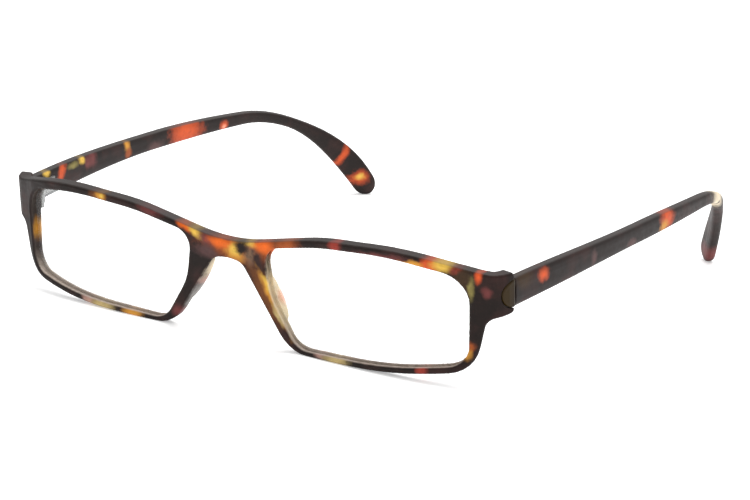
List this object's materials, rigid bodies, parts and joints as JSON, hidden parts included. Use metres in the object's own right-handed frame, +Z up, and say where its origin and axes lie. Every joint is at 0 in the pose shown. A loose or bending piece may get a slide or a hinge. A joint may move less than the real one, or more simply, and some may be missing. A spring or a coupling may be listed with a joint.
{
  "type": "folding reading glasses",
  "caption": "Full-rim plastic reading glasses with clear lenses, moulded nose pads and temples that fold on metal hinges.",
  "frame": {"origin": "centre of the bounding box's base, on the table that the rims and temple tips stand on", "axes": "+Z up, lenses facing -Y, +X towards the wearer's left"},
  "size_m": [0.1448, 0.1432, 0.0294],
  "materials": {
    "tortoiseshell_plastic": "soft matt, dark brown with amber, orange, yellow and wine patches",
    "olive_plastic": "satin, translucent olive brown",
    "clear_lens": "polished clear",
    "hinge_steel": "plated, slightly worn"
  },
  "bodies": {
    "front": {"front_frame": "tortoiseshell_plastic", "lens_left": "clear_lens", "front_leaf_left": "hinge_steel", "hinge_screw_left": "hinge_steel", "lens_right": "clear_lens", "front_leaf_right": "hinge_steel", "hinge_screw_right": "hinge_steel", "front_rivet_left_1": "hinge_steel", "front_rivet_left_2": "hinge_steel", "front_rivet_right_1": "hinge_steel", "front_rivet_right_2": "hinge_steel"},
    "temple_left": {"temple_left": "tortoiseshell_plastic", "hinge_tongue_left": "olive_plastic", "temple_leaf_left": "hinge_steel", "temple_rivet_left_1": "hinge_steel", "temple_rivet_left_2": "hinge_steel"},
    "temple_right": {"temple_right": "tortoiseshell_plastic", "hinge_tongue_right": "olive_plastic", "temple_leaf_right": "hinge_steel", "temple_rivet_right_1": "hinge_steel", "temple_rivet_right_2": "hinge_steel"}
  },
  "joints": [
    {"name": "fold_left", "type": "hinge", "parent": "front", "child": "temple_left", "pos_m": [0.06447, -0.05899, 0.02182], "axis": [0, -0.1178, 0.993], "range_deg": [0, 90]},
    {"name": "fold_right", "type": "hinge", "parent": "front", "child": "temple_right", "pos_m": [-0.06447, -0.05899, 0.02182], "axis": [0, 0.1178, -0.993], "range_deg": [0, 84]}
  ]
}
